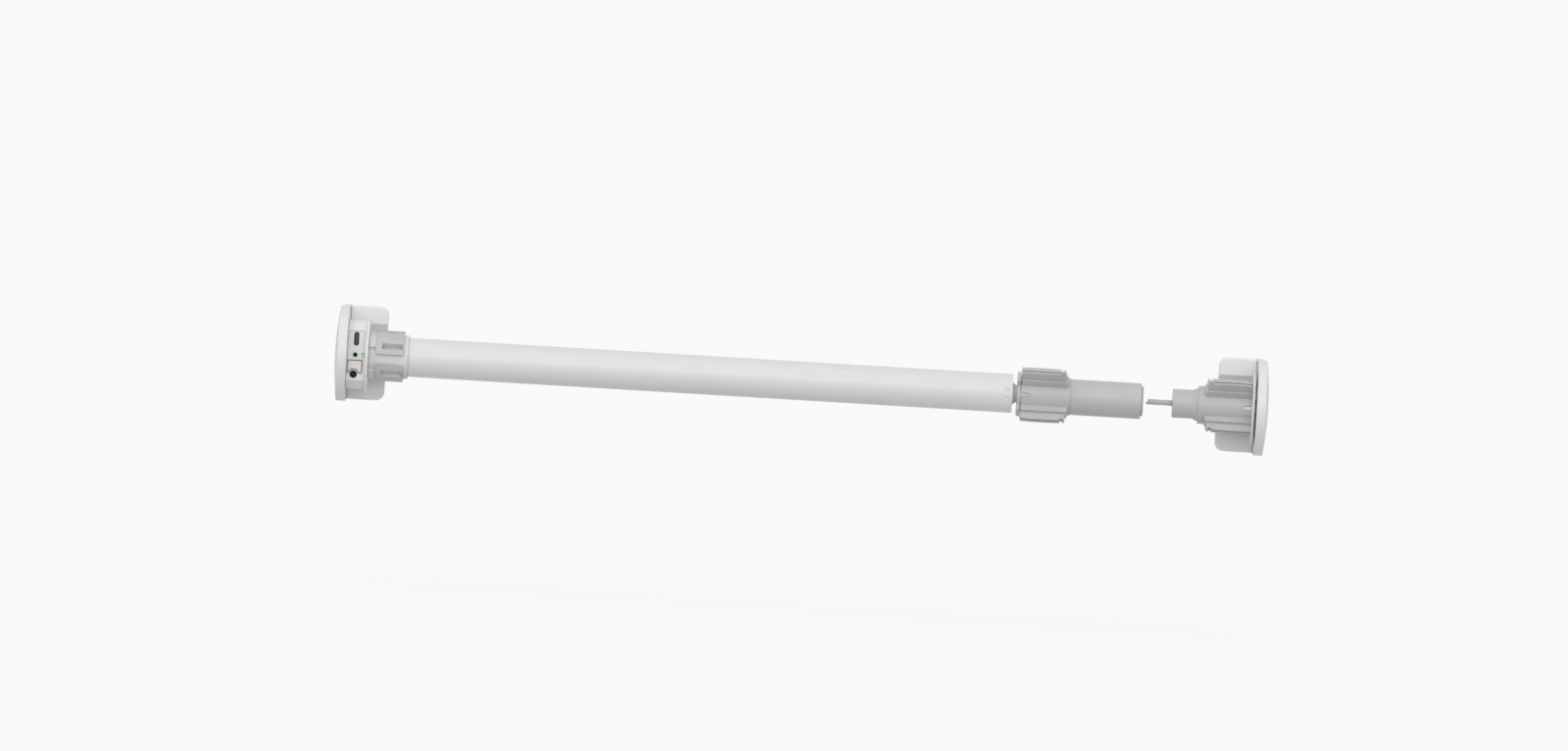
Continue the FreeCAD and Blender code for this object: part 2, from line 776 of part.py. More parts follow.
def head_housing():
    head = body("head_housing", S.at_plate)
    face = sketch(head, "XY")
    disc(face, S.head_radius)
    pad(head, face, S.head_length)
    flat = sketch(head, "XY")
    reach = S.head_radius + S.cut_past
    rectangle(flat, -reach, -S.head_flat, -reach, reach)
    pocket(head, flat, S.head_length, reverse=True)
    dress("Chamfer", head, S.head_edge, lambda edge: all(near(v.Point.z, 0) for v in edge.Vertexes))
    boss = sketch(head, "XY")
    half = S.boss_side / 2
    rectangle(boss, -half, half, -half, half)
    pad(head, boss, S.boss_depth, reverse=True)
    slot = sketch(head, "XY", lift=S.head_length)
    gap = S.latch_clearance
    rectangle(slot, -S.board_front - gap / 2, gap - S.board_front + S.board_thickness,
              -S.head_board_half_height - gap, S.head_board_half_height + gap)
    pocket(head, slot, S.head_length - S.head_board_near + gap)
    through = S.head_flat - S.board_front
    button_hole = S.button_radius + S.button_clearance
    reset_hole = S.reset_radius + S.button_clearance
    front_pocket(head, S.port_recess_depth, rectangle,
                 S.port_recess_low, S.port_recess_high, S.port_recess_near, S.port_recess_far)
    front_pocket(head, through, oblong, S.port_up, S.port_along, S.port_half_long, S.port_half_wide)
    front_pocket(head, S.bezel_depth, disc, S.bezel_radius, S.button_up, S.button_along)
    front_pocket(head, through, disc, button_hole, S.button_up, S.button_along)
    front_pocket(head, through, disc, reset_hole, S.reset_up, S.reset_along)
    front_pocket(head, S.lens_depth, rectangle, S.lens_bottom, S.lens_top, S.lens_near, S.lens_far)
    front_pocket(head, S.latch_recess, arched, S.latch_gap)
    seat_hole = sketch(head, "YZ", lift=-S.head_flat + S.latch_recess)
    disc(seat_hole, S.latch_spring_radius + S.latch_clearance, S.latch_spring_up, S.latch_spring_along)
    pocket(head, seat_hole, S.latch_spring_seat, reverse=True)
    channel = sketch(head, "XY")
    out = S.head_flat - S.latch_foot_set_back + gap
    back = out - S.latch_foot_thickness - 2 * gap - S.latch_throw
    rectangle(channel, -out, -back, S.latch_foot_bottom - gap, S.latch_foot_top + gap)
    pocket(head, channel, S.latch_near, reverse=True)


def front_pocket(owner, depth, draw, *sizes):
    """A pocket of some outline and depth cut into the head's flat front."""
    drawing = sketch(owner, "YZ", lift=-S.head_flat)
    draw(drawing, *sizes)
    pocket(owner, drawing, depth, reverse=True)


def arched(drawing, grow):
    """The latch's outline grown by a gap: a rectangle whose lower edge arches over the reset button."""
    low = S.latch_bottom - grow
    high = S.latch_top + grow
    left = S.latch_near - grow
    right = S.latch_far + grow
    arch = S.reset_radius + S.latch_arch - grow
    drop = low - S.reset_up
    reach = root(arch * arch - drop * drop)
    centre = Vector(value_of(S.reset_up), value_of(S.reset_along), 0)
    near_foot = Vector(value_of(low), value_of(S.reset_along - reach), 0)
    far_foot = Vector(value_of(low), value_of(S.reset_along + reach), 0)
    corners = [
        near_foot,
        Vector(value_of(low), value_of(left), 0), Vector(value_of(high), value_of(left), 0),
        Vector(value_of(high), value_of(right), 0), Vector(value_of(low), value_of(right), 0),
        far_foot]
    for start, end in zip(corners, corners[1:]):
        drawing.addGeometry(Part.LineSegment(start, end))
    for i in range(4):
        drawing.addConstraint(Sketcher.Constraint("Coincident", i, 2, i + 1, 1))
    crown = centre + Vector(value_of(arch), 0, 0)
    arc = drawing.addGeometry(Part.Arc(near_foot, crown, far_foot))
    curve = drawing.Geometry[arc]
    starts_near = (curve.StartPoint - near_foot).Length < 0.001
    drawing.addConstraint(Sketcher.Constraint("Coincident", 0, 1, arc, 1 if starts_near else 2))
    drawing.addConstraint(Sketcher.Constraint("Coincident", 4, 2, arc, 2 if starts_near else 1))
    hold(drawing, "DistanceX", arc, 3, S.reset_up)
    hold(drawing, "DistanceY", arc, 3, S.reset_along)
    number = drawing.addConstraint(Sketcher.Constraint("Radius", arc, value_of(arch)))
    bind(drawing, f"Constraints[{number}]", arch)
    hold(drawing, "DistanceX", 0, 1, low)
    hold(drawing, "DistanceX", 4, 2, low)
    for line, across, along in ((1, low, left), (2, high, left), (3, high, right), (4, low, right)):
        hold(drawing, "DistanceX", line, 1, across)
        hold(drawing, "DistanceY", line, 1, along)


def head_flange():
    """The flange that closes the head, with the neck that holds the motor tube."""
    flange = body("head_flange", S.at_flange)
    neck = S.tube_bore
    top = S.flange_thickness
    revolve(flange, [
        (S.neck_bore_radius, 0), (S.flange_radius, 0), (S.flange_radius, top),
        (neck, top), (neck, top + S.neck_length), (S.neck_bore_radius, top + S.neck_length)])
    dress("Fillet", flange, S.head_edge,
          lambda edge: near(radius_of(edge.Vertexes[0].Point), S.flange_radius))


def head_board():
    board = body("head_board", S.at_plate)
    face = sketch(board, "YZ", lift=-S.board_front)
    high = S.head_board_half_height
    rectangle(face, -high, high, S.head_board_near, S.head_length - S.latch_clearance)
    pad(board, face, S.board_thickness)


def charging_port():
    shell = body("usb_shell", S.at_plate)
    front = S.head_flat - S.port_recess_depth - S.port_set_back
    face = sketch(shell, "YZ", lift=-front)
    oblong(face, S.port_up, S.port_along, S.port_half_long, S.port_half_wide)
    pad(shell, face, front - S.board_front)
    mouth = sketch(shell, "YZ", lift=-front)
    oblong(mouth, S.port_up, S.port_along, S.port_half_long - S.port_wall, S.port_half_wide - S.port_wall)
    pocket(shell, mouth, front - S.board_front - S.port_wall, reverse=True)
    tongue = body("usb_tongue", S.at_plate)
    tip = S.head_flat - S.tongue_set_back - S.port_recess_depth
    bar = sketch(tongue, "YZ", lift=-tip)
    rectangle(bar, S.port_up - S.tongue_half_long, S.port_up + S.tongue_half_long,
              S.port_along - S.tongue_half_thick, S.port_along + S.tongue_half_thick)
    pad(tongue, bar, tip - S.board_front - S.port_wall)


def buttons():
    program = body("program_button", S.at_plate)
    front = S.head_flat - S.button_set_back
    face = sketch(program, "YZ", lift=-front)
    disc(face, S.button_radius, S.button_up, S.button_along)
    pad(program, face, front - S.board_front - S.button_throw - S.switch_gap)
    bezel = body("button_bezel", S.at_plate)
    rim = sketch(bezel, "YZ", lift=-S.head_flat)
    disc(rim, S.bezel_radius, S.button_up, S.button_along)
    disc(rim, S.button_radius + S.button_clearance, S.button_up, S.button_along)
    pad(bezel, rim, S.bezel_depth)
    reset = body("reset_button", S.at_plate)
    proud = S.head_flat + S.reset_proud
    round_face = sketch(reset, "YZ", lift=-proud)
    disc(round_face, S.reset_radius, S.reset_up, S.reset_along)
    pad(reset, round_face, proud - S.board_front - S.button_throw - S.switch_gap)
    dress("Fillet", reset, S.reset_round, lambda edge: all(near(-v.Point.x, proud) for v in edge.Vertexes))


def led_lenses():
    lenses = body("led_lenses", S.at_plate)
    lenses.AllowCompound = True
    face = sketch(lenses, "YZ", lift=-S.head_flat)
    half = S.lens_seam / 2
    rectangle(face, S.lens_bottom, S.lens_split - half, S.lens_near, S.lens_far)
    rectangle(face, S.lens_split + half, S.lens_top, S.lens_near, S.lens_far)
    pad(lenses, face, S.lens_depth)


def release_latch():
    """A thumb plate whose foot passes the bracket's slot and hooks behind it."""
    latch = body("release_latch", S.at_plate)
    plate = sketch(latch, "YZ", lift=-S.head_flat)
    arched(plate, 0)
    pad(latch, plate, S.latch_thickness)
    dress("Fillet", latch, S.latch_corner, is_latch_corner)
    out = S.head_flat - S.latch_foot_set_back
    back = out - S.latch_foot_thickness
    behind = S.sheet_steel + S.latch_lip_gap
    foot = sketch(latch, "XY", lift=S.latch_root)
    rectangle(foot, -out, -back, S.latch_foot_bottom, S.latch_foot_top)
    pad(latch, foot, S.latch_root + behind + S.latch_lip, reverse=True)
    lip = sketch(latch, "XY", lift=-behind)
    rectangle(lip, -out - S.latch_lip, -back, S.latch_foot_bottom, S.latch_foot_top)
    pad(latch, lip, S.latch_lip, reverse=True)


def is_latch_corner(edge):
    ends = [v.Point for v in edge.Vertexes]
    top = all(near(p.y, S.latch_top) for p in ends)
    return top and near(edge.Length, S.latch_thickness)


def latch_spring():
    """A light coil spring in the recess's floor, drawn as the sleeve that it fills."""
    spring = body("latch_spring", S.at_plate)
    front = S.head_flat - S.latch_thickness
    face = sketch(spring, "YZ", lift=-front)
    disc(face, S.latch_spring_radius, S.latch_spring_up, S.latch_spring_along)
    disc(face, S.latch_spring_radius - S.latch_spring_wire, S.latch_spring_up, S.latch_spring_along)
    pad(spring, face, S.latch_recess - S.latch_thickness + S.latch_spring_seat)


# Crown

def crown():
    ring = body("crown_ring", S.at_crown)
    inner = S.tube_radius + S.running_gap
    revolve(ring, [
        (inner, 0), (S.crown_radius, 0), (S.crown_radius, S.crown_length), (inner, S.crown_length)])
    lug = sketch(ring, "XY", spin=S.lug_turn)
    half = S.lug_half_width
    rectangle(lug, S.tube_radius + S.lug_lift, S.lug_reach, -half, half)
    around(ring, [pad(ring, lug, S.key_start)], 4)
    keys = body("crown_keys", S.at_crown + S.key_start)
    keys.AllowCompound = True
    tyre = sketch(keys, "XY")
    disc(tyre, S.key_radius)
    disc(tyre, S.crown_radius)
    pad(keys, tyre, S.key_length)
    gap = sketch(keys, "XY", spin=S.key_turn)
    rectangle(gap, S.crown_radius - S.key_gap_depth, S.key_radius + S.cut_past,
              -S.key_gap_half, S.key_gap_half)
    around(keys, [pocket(keys, gap, S.key_length, reverse=True)], 4)
    sunk_panels(ring, S.key_start + S.window_margin)
    sunk_panels(keys, S.window_margin)


def sunk_panels(owner, lift):
    """Sinks a panel into each front key: the upper one's floor leans over, the lower one's faces the room."""
    panels = sketch(owner, "XY", lift=lift)
    reach = S.key_radius + S.cut_past
    outline(panels, [
        (-reach, S.window_upper_low), (S.window_upper_sink - S.crown_radius, S.window_upper_low),
        (S.window_upper_lip - S.key_radius, S.window_upper_high), (-reach, S.window_upper_high)])
    rectangle(panels, -reach, S.window_lower_sink - S.crown_radius, -S.window_lower_high, -S.window_lower_low)
    around(owner, [pocket(owner, panels, S.window_length, reverse=True)], 2)


# Motor tube and its end

def motor_tube():
    tube = body("motor_tube", S.at_tube)
    revolve(tube, [
        (S.tube_bore, 0), (S.tube_radius, 0), (S.tube_radius, S.tube_length), (S.tube_bore, S.tube_length)])
    slots = sketch(tube, "YZ")
    start = S.tube_length - S.tab_length
    end = S.tube_length + S.cut_past
    rectangle(slots, S.tab_upper_low, S.tab_upper_high, start, end)
    rectangle(slots, -S.tab_lower_high, -S.tab_lower_low, start, end)
    pocket(tube, slots, 2 * (S.tube_radius + S.cut_past), middle=True)


def tube_end_ring():
    """The ring that closes the tube, with a spigot that carries the bearing and tabs in the tube's slots."""
    ring = body("tube_end_ring", S.at_tube_end)
    spigot = S.tube_bore - S.tray_clearance
    inner = S.bearing_radius
    revolve(ring, [
        (inner, -S.end_spigot), (spigot, -S.end_spigot), (spigot, 0),
        (S.tube_radius, 0), (S.tube_radius, S.end_ring_thickness), (inner, S.end_ring_thickness)])
    tabs = sketch(ring, "XY")
    outer = root(S.tube_radius * S.tube_radius - S.tab_upper_high * S.tab_upper_high)
    foot = spigot - S.tab_root
    rectangle(tabs, -outer, -foot, S.tab_upper_low, S.tab_upper_high)
    rectangle(tabs, -outer, -foot, -S.tab_lower_high, -S.tab_lower_low)
    rectangle(tabs, foot, outer, S.tab_upper_low, S.tab_upper_high)
    rectangle(tabs, foot, outer, -S.tab_lower_high, -S.tab_lower_low)
    pad(ring, tabs, S.tab_length, reverse=True)
    bearing = body("output_bearing", S.at_bearing)
    bore = S.shaft_radius + S.pin_clearance
    length = S.end_spigot + S.end_ring_thickness
    revolve(bearing, [(bore, 0), (S.bearing_radius, 0), (S.bearing_radius, length), (bore, length)])


def inner_tray():
    """A half shell that carries the cells and, on its edges, the control board."""
    tray = body("inner_tray", S.at_tray)
    outer = S.tube_bore - S.tray_clearance
    inner = S.cell_radius + S.tray_clearance
    revolve(tray, [(inner, 0), (outer, 0), (outer, S.tray_length), (inner, S.tray_length)])
    upper = sketch(tray, "XY")
    past = outer + S.cut_past
    rectangle(upper, -past, past, 0, past)
    pocket(tray, upper, S.tray_length, reverse=True)
    reach = (inner + outer) / 2
    for lift in (0, S.tray_length - S.tray_end_wall):
        wall = sketch(tray, "XY", lift=lift)
        rectangle(wall, -reach, reach, -S.tray_wall_depth, 0)
        pad(tray, wall, S.tray_end_wall)


def battery():
    cells = body("battery_cells", S.at_cells)
    cells.AllowCompound = True
    contacts = body("battery_contacts", S.at_cells - S.contact_thickness)
    contacts.AllowCompound = True
    count = int(value_of(S.cell_count))
    for number in range(count + 1):
        plate = sketch(contacts, "XY", lift=number * S.cell_step)
        disc(plate, S.contact_radius)
        pad(contacts, plate, S.contact_thickness)
    for number in range(count):
        can = sketch(cells, "XY", lift=number * S.cell_step)
        disc(can, S.cell_radius)
        pad(cells, can, S.cell_length)


def control_board():
    board = body("control_board", S.at_board)
    face = sketch(board, "XZ")
    half = S.board_half_width
    rectangle(face, -half, half, 0, S.board_length)
    pad(board, face, S.board_thickness, reverse=True)
    parts = body("board_parts", S.at_board)
    parts.AllowCompound = True
    for left, right, start, end, height in BOARD_PARTS:
        chip = sketch(parts, "XZ", lift=-S.board_thickness)
        rectangle(chip, left * half, right * half, start * S.board_length, end * S.board_length)
        pad(parts, chip, height, reverse=True)


# Motor

def motor():
    shaft_hole = S.motor_shaft_radius + S.pin_clearance
    inner = S.can_radius - S.can_wall
    body_length = S.can_length - S.can_cover
    can = body("motor_can", S.at_can + S.can_cover)
    revolve(can, [
        (shaft_hole, body_length), (S.can_radius, body_length), (S.can_radius, 0),
        (inner, 0), (inner, body_length - S.tray_end_wall), (shaft_hole, body_length - S.tray_end_wall)])
    cover = body("motor_end_cap", S.at_can)
    revolve(cover, [
        (shaft_hole, 0), (S.can_radius, 0), (S.can_radius, S.can_cover), (shaft_hole, S.can_cover)])
    magnets = body("motor_magnets", S.at_can + S.can_cover)
    magnets.AllowCompound = True
    magnet_bore = inner - S.magnet_thickness
    revolve(magnets, [
        (magnet_bore, S.contact_thickness), (inner, S.contact_thickness),
        (inner, S.contact_thickness + S.rotor_length), (magnet_bore, S.contact_thickness + S.rotor_length)])
    gap = sketch(magnets, "XY")
    rectangle(gap, -inner - S.cut_past, inner + S.cut_past, -S.magnet_thickness, S.magnet_thickness)
    pocket(magnets, gap, S.contact_thickness + S.rotor_length, reverse=True)
    rotor = body("motor_rotor", S.at_can + S.can_cover + S.contact_thickness)
    rim = magnet_bore - S.air_gap
    core = S.motor_shaft_radius
    revolve(rotor, [
        (core, 0), (rim, 0), (rim, S.rotor_length), (S.commutator_radius, S.rotor_length),
        (S.commutator_radius, S.rotor_length + S.commutator_length),
        (core, S.rotor_length + S.commutator_length)])
    slot = sketch(rotor, "XY")
    rectangle(slot, rim - S.rotor_slot_depth, rim + S.cut_past, -S.rotor_slot_half, S.rotor_slot_half)
    around(rotor, [pocket(rotor, slot, S.rotor_length, reverse=True)], S.rotor_poles)
    shaft = body("rotor_shaft", S.at_can + S.contact_thickness)
    rod = sketch(shaft, "XY")
    disc(rod, S.motor_shaft_radius)
    pad(shaft, rod, S.can_length - S.contact_thickness + S.gear_gap + S.gear_width)


# Planetary gears

PRESSURE_ANGLE = math.radians(25)
STUB = 0.8
DEDENDUM = 1.1


def involute_angle(base, radius):
    """How far an involute has turned where it reaches a radius."""
    swing = math.sqrt(max((radius / base) ** 2 - 1, 0.0))
    return swing - math.atan(swing)


def tooth_half_angle(teeth, radius, slack):
    """Half the angle of an involute tooth at a radius, thinned by the backlash."""
    pitch = teeth * S.gear_module.value / 2
    base = pitch * math.cos(PRESSURE_ANGLE)
    at_pitch = math.pi / (2 * teeth) - slack / (2 * pitch)
    return at_pitch + involute_angle(base, pitch) - involute_angle(base, max(radius, base))


def toothed_wire(teeth, inner, outer, slack, turn):
    """The outline of a gear: each tooth has two straightened flanks between its root and its tip."""
    points = []
    steps = (inner, (inner + outer) / 2, outer)
    for tooth in range(teeth):
        middle = turn + 2 * math.pi * tooth / teeth
        for radius in steps:
            points.append(polar(radius, middle - tooth_half_angle(teeth, radius, slack)))
        for radius in reversed(steps):
            points.append(polar(radius, middle + tooth_half_angle(teeth, radius, slack)))
    return Part.makePolygon(points + points[:1])


def polar(radius, angle):
    return Vector(radius * math.cos(angle), radius * math.sin(angle), 0)


def outer_gear(teeth, bore, turn):
    pitch = teeth * S.gear_module.value / 2
    tip = pitch + STUB * S.gear_module.value
    foot = pitch - DEDENDUM * S.gear_module.value
    wire = toothed_wire(teeth, foot, tip, S.backlash.value, turn)
    solid = Part.Face(wire).extrude(Vector(0, 0, S.gear_width.value))
    return solid.cut(Part.makeCylinder(bore, S.gear_width.value))


def inner_gear(teeth, outer, length):
    """A ring whose gaps are the teeth of a slightly thicker gear, so that a tooth points along X."""
    pitch = teeth * S.gear_module.value / 2
    foot = pitch - STUB * S.gear_module.value
    tip = pitch + DEDENDUM * S.gear_module.value
    wire = toothed_wire(teeth, foot, tip, -S.backlash.value, math.pi / teeth)
    hole = Part.Face(wire).extrude(Vector(0, 0, length))
    return Part.makeCylinder(outer, length).cut(hole)


def planetary_gears():
    ring_length = (S.at_bearing - S.at_ring_gear).value
    ring = inner_gear(int(S.ring_teeth.value), S.ring_gear_radius.value, ring_length)
    feature("ring_gear", ring, S.at_ring_gear)
    stages = ((1, S.at_gears_1, S.at_carrier_1), (2, S.at_gears_2, S.at_carrier_2))
    for stage, at_gears, at_carrier in stages:
        bore = S.motor_shaft_radius.value
        feature(f"sun_gear_{stage}", outer_gear(int(S.sun_teeth.value), bore, 0.0), at_gears)
        planet_bore = (S.planet_pin_radius + S.pin_clearance).value
        planet_turn = math.pi / S.planet_teeth.value
        for letter, angle in zip("abc", (0, 120, 240)):
            across = S.gear_centres * math.cos(math.radians(angle))
            up = S.gear_centres * math.sin(math.radians(angle))
            shape = outer_gear(int(S.planet_teeth.value), planet_bore, planet_turn)
            feature(f"planet_{stage}{letter}", shape, at_gears, across, up)
        carrier(stage, at_carrier)


def carrier(stage, at_carrier):
    """A disc with three pins that the planets turn on."""
    plate = body(f"carrier_{stage}", at_carrier)
    face = sketch(plate, "XY")
    disc(face, S.carrier_radius)
    pad(plate, face, S.carrier_thickness)
    if stage == 1:
        stub = sketch(plate, "XY", lift=S.carrier_thickness)
        disc(stub, S.motor_shaft_radius)
        pad(plate, stub, S.gear_gap + S.gear_width)
    else:
        hub = sketch(plate, "XY")
        disc(hub, S.shaft_tail_radius)
        pocket(plate, hub, S.carrier_thickness, reverse=True)
    hole = sketch(plate, "XY")
    disc(hole, S.planet_pin_radius, S.gear_centres, 0)
    around(plate, [pocket(plate, hole, S.carrier_thickness, reverse=True)], 3)
    pins = body(f"planet_pins_{stage}", at_carrier - S.gear_gap - S.gear_width)
    pins.AllowCompound = True
    pin = sketch(pins, "XY")
    disc(pin, S.planet_pin_radius, S.gear_centres, 0)
    around(pins, [pad(pins, pin, S.gear_width + S.gear_gap + S.carrier_thickness)], 3)


# Output shaft and drive hub

def output_shaft():
    """Runs from the last carrier through the bearing, shows its cone, and drives the hub by a square."""
    shaft = body("output_shaft", S.at_shaft)
    back = S.at_shaft - S.at_carrier_2
    shoulder = S.at_shaft - S.at_bearing
    cone = S.running_gap
    revolve(shaft, [
        (0, -back), (S.shaft_tail_radius, -back), (S.shaft_tail_radius, -shoulder),
        (S.shaft_radius, -shoulder), (S.shaft_radius, cone), (S.shaft_cone_radius, cone),
        (S.shaft_cone_small, cone + S.shaft_cone_length), (S.shaft_radius, cone + S.shaft_cone_length),
        (S.shaft_radius, S.shaft_show), (0, S.shaft_show)])
    square = sketch(shaft, "XY", lift=S.shaft_show)
    half = S.drive_square / 2
    rectangle(square, -half, half, -half, half)
    pad(shaft, square, S.drive_square_length)
    hole = sketch(shaft, "XY", lift=S.shaft_show + S.drive_square_length)
    disc(hole, S.screw_radius)
    pocket(shaft, hole, S.screw_length - S.hub_web)


def drive_hub():
    """A long sleeve with a keyed collar, a tongue for the adapter and a web that the screw clamps."""
    hub = body("drive_hub", S.at_hub)
    square_end = S.drive_square_length
    web_end = square_end + S.hub_web
    revolve(hub, [
        (0, 0), (S.adapter_radius, 0), (S.adapter_radius, S.collar_length),
        (S.sleeve_radius, S.collar_length), (S.sleeve_radius, S.hub_length),
        (S.hub_bore_radius, S.hub_length), (S.hub_bore_radius, web_end), (0, web_end)])
    collar_pad = sketch(hub, "XY", spin=FOURTHS)
    rectangle(collar_pad, S.sleeve_radius + S.pad_lift, S.pad_face, -S.pad_half_width, S.pad_half_width)
    around(hub, [pad(hub, collar_pad, S.collar_length)], 4)
    tongues = sketch(hub, "YZ")
    tip = S.collar_length + S.seam + S.tongue_length
    round_ended(tongues, S.tongue_width / 2, S.collar_length, tip)
    pad(hub, tongues, 2 * (S.adapter_radius - S.tongue_gap), middle=True)
    square = sketch(hub, "XY")
    side = S.drive_square / 2 + S.drive_square_gap
    rectangle(square, -side, side, -side, side)
    pocket(hub, square, square_end, reverse=True)
    hole = sketch(hub, "XY")
    disc(hole, S.screw_radius + S.running_gap)
    pocket(hub, hole, web_end, reverse=True)


def adapter(label, along, turn):
    """The ribbed ring that drives the shade's roller: four keyed pads with slit, crowned and hooked ribs."""
    ring = body(label, along, turn)
    base = sketch(ring, "XY")
    disc(base, S.adapter_radius)
    disc(base, S.sleeve_radius + S.sleeve_fit)
    pad(ring, base, S.adapter_length)
    root_radius = S.sleeve_radius + S.pad_lift
    block = sketch(ring, "XZ", spin=FOURTHS)
    end = S.pad_length
    cut = S.pad_round
    bulge = cut * S.pad_round_share
    outline(block, [
        (root_radius, 0), (S.pad_face, 0), (S.pad_face, end - cut), (S.pad_face - bulge, end - bulge),
        (S.pad_face - cut, end), (root_radius, end)])
    key = pad(ring, block, 2 * S.pad_half_width, middle=True)
    fin = sketch(ring, "XZ", spin=FOURTHS)
    low = S.rib_reach - S.rib_crown
    hook_end = S.hook_start + S.hook_length
    outline(fin, [
        (root_radius, 0), (low, 0), (S.rib_reach, S.rib_length / 3), (S.rib_reach, S.rib_length * 2 / 3),
        (low, S.rib_length), (S.notch_floor, S.rib_length), (S.notch_floor, S.hook_start),
        (S.hook_reach, S.hook_start), (S.hook_reach, hook_end), (root_radius, hook_end)])
    rib = pad(ring, fin, S.rib_slit + 2 * S.rib_thickness, middle=True)
    slit = sketch(ring, "XZ", spin=FOURTHS)
    rectangle(slit, S.pad_face, S.rib_reach + S.cut_past, -S.seam, S.adapter_length)
    groove = pocket(ring, slit, S.rib_slit, middle=True)
    around(ring, [key, rib, groove], 4)
    slot = sketch(ring, "YZ")
    round_ended(slot, S.tongue_width / 2 + S.tongue_gap, -S.seam, S.tongue_length + S.tongue_gap)
    pocket(ring, slot, 2 * (S.adapter_radius + S.cut_past), middle=True)


def hub_fittings():
    plug = body("hub_end_ring", S.at_hub_end)
    inner = S.end_plug_bore
    revolve(plug, [
        (inner, -S.end_plug), (S.hub_bore_radius, -S.end_plug), (S.hub_bore_radius, 0),
        (S.end_step_radius, 0), (S.end_step_radius, S.end_step), (inner, S.end_step)])
    screw = body("hub_screw", S.at_hub + S.drive_square_length + S.hub_web)
    revolve(screw, [
        (0, -S.screw_length), (S.screw_radius, -S.screw_length), (S.screw_radius, 0),
        (S.screw_head_radius, 0), (S.screw_head_radius, S.screw_head), (0, S.screw_head)])


# Idler set

def idler_hub():
    """The nose, the ring and the sleeve under the adapter, with a chamber for the spring."""
    hub = body("idler_hub", S.at_nose)
    cone_start = S.nose_length
    ring_start = cone_start + S.nose_cone
    sleeve_start = ring_start + S.nose_ring
    end = sleeve_start + S.adapter_length
    chamber = end - S.chamber_length
    hole = S.rod_radius + S.rod_hole_gap
    revolve(hub, [
        (hole, 0), (S.nose_radius, 0), (S.nose_radius, cone_start), (S.nose_cone_radius, ring_start),
        (S.adapter_radius, ring_start), (S.adapter_radius, sleeve_start), (S.sleeve_radius, sleeve_start),
        (S.sleeve_radius, end), (S.chamber_radius, end), (S.chamber_radius, chamber), (hole, chamber)])


def idler_flange():
    """The flange at the bracket, with two tongues in the adapter's slots."""
    flange = body("idler_flange", S.at_idler_flange)
    bore = S.pin_radius + S.pin_fit
    revolve(flange, [
        (bore, 0), (S.idler_flange_radius, 0),
        (S.idler_flange_radius, S.idler_flange), (bore, S.idler_flange)])
    dress("Fillet", flange, S.idler_flange_round,
          lambda edge: near(radius_of(edge.Vertexes[0].Point), S.idler_flange_radius))
    inner = S.sleeve_radius + S.sleeve_fit
    outer = S.adapter_radius - S.tongue_gap
    for lift in (inner, -outer):
        tongue = sketch(flange, "YZ", lift=lift)
        round_ended(tongue, S.tongue_width / 2, 0, -S.tongue_length)
        pad(flange, tongue, outer - inner)


def idler_spindle():
    """A threaded rod that ends in the pin which runs in the bracket's socket."""
    spindle = body("idler_spindle", S.at_rod)
    pin_start = S.at_idler_flange - S.at_rod - S.spring_collar
    end = S.at_socket - S.at_rod + S.pin_engage
    revolve(spindle, [
        (0, 0), (S.rod_radius, 0), (S.rod_radius, pin_start), (S.pin_radius, pin_start),
        (S.pin_radius, end), (0, end)])
    step = sketch(spindle, "XY")
    past = S.rod_radius + S.cut_past
    rectangle(step, -past, past, 0, past)
    pocket(spindle, step, S.rod_half_step, reverse=True)
    collar = body("spring_collar", S.at_idler_flange - S.spring_collar)
    revolve(collar, [
        (S.pin_radius, 0), (S.spring_collar_radius, 0), (S.spring_collar_radius, S.spring_collar),
        (S.pin_radius, S.spring_collar)])


def idler_spring():
    """A coil spring between the chamber's floor and the collar, drawn as the sleeve that its coils fill."""
    spring = body("idler_spring", S.at_idler_flange - S.chamber_length)
    inner = S.idler_spring_radius - S.idler_spring_wire / 2
    outer = S.idler_spring_radius + S.idler_spring_wire / 2
    length = S.chamber_length - S.spring_collar
    revolve(spring, [(inner, 0), (outer, 0), (outer, length), (inner, length)])


def build():
    cap_left = cap()
    mirrored("cap_right", cap_left)
    hood_left = hood()
    mirrored("hood_right", hood_left)
    bracket_left()
    bracket_right()
    socket_bush()
    head_housing()
    head_flange()
    head_board()
    charging_port()
    buttons()
    led_lenses()
    release_latch()
    latch_spring()
    crown()
    motor_tube()
    tube_end_ring()
    inner_tray()
    battery()
    control_board()
    motor()
    planetary_gears()
    output_shaft()
    drive_hub()
    adapter("drive_adapter", S.at_adapter, AXIS)
    hub_fittings()
    idler_hub()
    adapter("idler_adapter", S.at_idler_flange, BACKWARDS)
    idler_flange()
    idler_spindle()
    idler_spring()
    document.recompute()


def check():
    """Stops before anything is written if an object failed or a piece has no valid solid."""
    for thing in document.Objects:
        if "Invalid" in thing.State or "Error" in thing.State:
            raise RuntimeError(f"{thing.Label} failed: {thing.State}")
    for piece in pieces:
        if piece.Shape.isNull() or not piece.Shape.isValid() or not piece.Shape.Solids:
            raise RuntimeError(f"{piece.Label} has no valid solid")


def write():
    os.makedirs("parts", exist_ok=True)
    for piece in pieces:
        piece.Shape.exportStep(f"parts/{piece.Label}.step")
        box_of = piece.Shape.BoundBox
        print(f"{piece.Label:18s} solids {len(piece.Shape.Solids):2d}  volume {piece.Shape.Volume:10.2f}  "
              f"x {box_of.XMin:7.2f} {box_of.XMax:7.2f}  y {box_of.YMin:6.2f} {box_of.YMax:6.2f}  "
              f"z {box_of.ZMin:6.2f} {box_of.ZMax:6.2f}")


build()
check()
write()
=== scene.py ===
import json
import math

import bpy
from mathutils import Matrix, Vector

